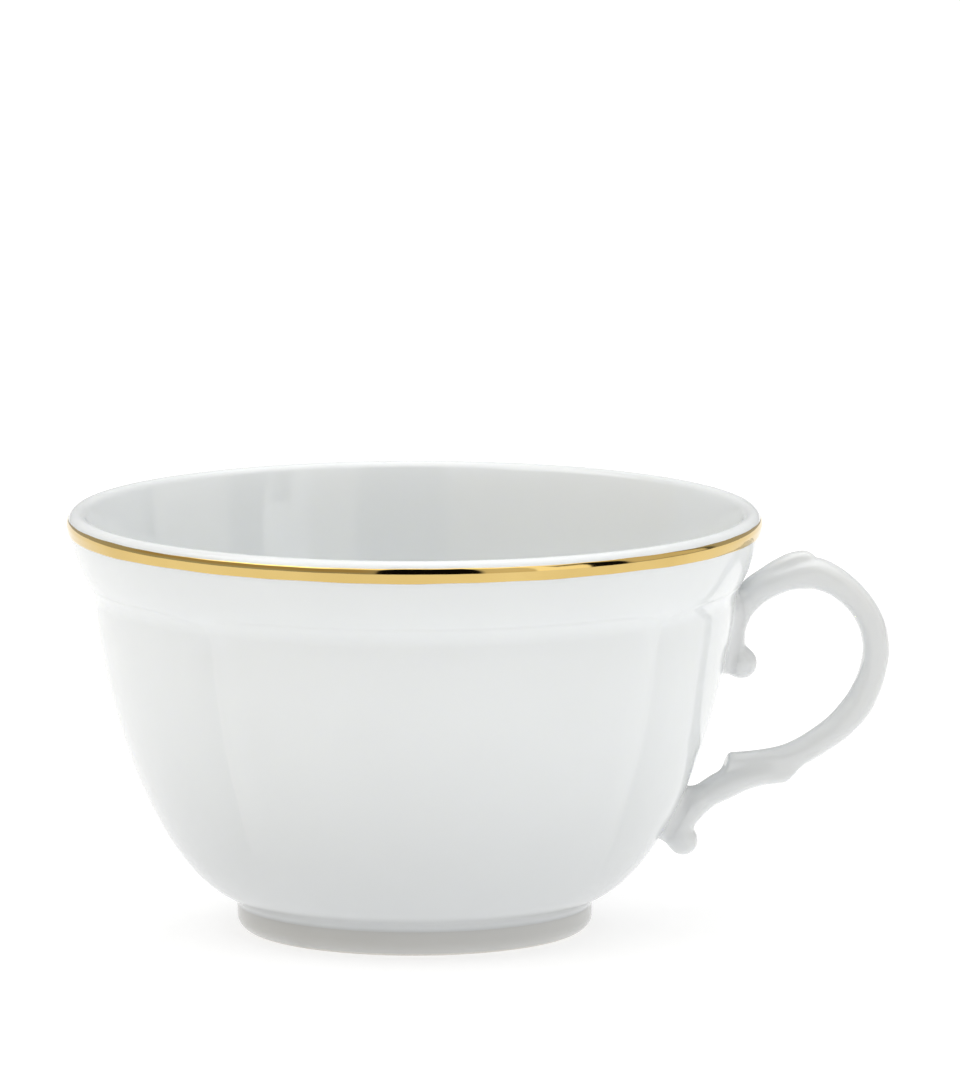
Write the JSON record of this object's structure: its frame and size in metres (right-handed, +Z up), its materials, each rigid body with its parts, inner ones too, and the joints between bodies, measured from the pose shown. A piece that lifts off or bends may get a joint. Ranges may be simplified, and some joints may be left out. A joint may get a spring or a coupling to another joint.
{
  "type": "teacup",
  "caption": "Footed porcelain teacup with softly bowed panels, a flared collar, a gilt rim band and a scrolled side handle.",
  "frame": {"origin": "centre of the foot's resting plane, on the cup's axis", "axes": "+Z up along the cup's axis, +X towards the handle, +Y completes a right-handed frame"},
  "size_m": [0.1142, 0.0962, 0.0584],
  "materials": {
    "porcelain": "clear gloss glaze",
    "foot_porcelain": "gloss glaze, wiped bare on the standing edge",
    "handle_porcelain": "clear gloss glaze",
    "luting_slip": "clear gloss glaze",
    "gold": "bright fired gold"
  },
  "bodies": {
    "root": {"cup_body": "porcelain", "foot_ring": "foot_porcelain", "handle": "handle_porcelain", "upper_handle_joint": "luting_slip", "lower_handle_joint": "luting_slip", "gold_rim_band": "gold"}
  },
  "joints": []
}
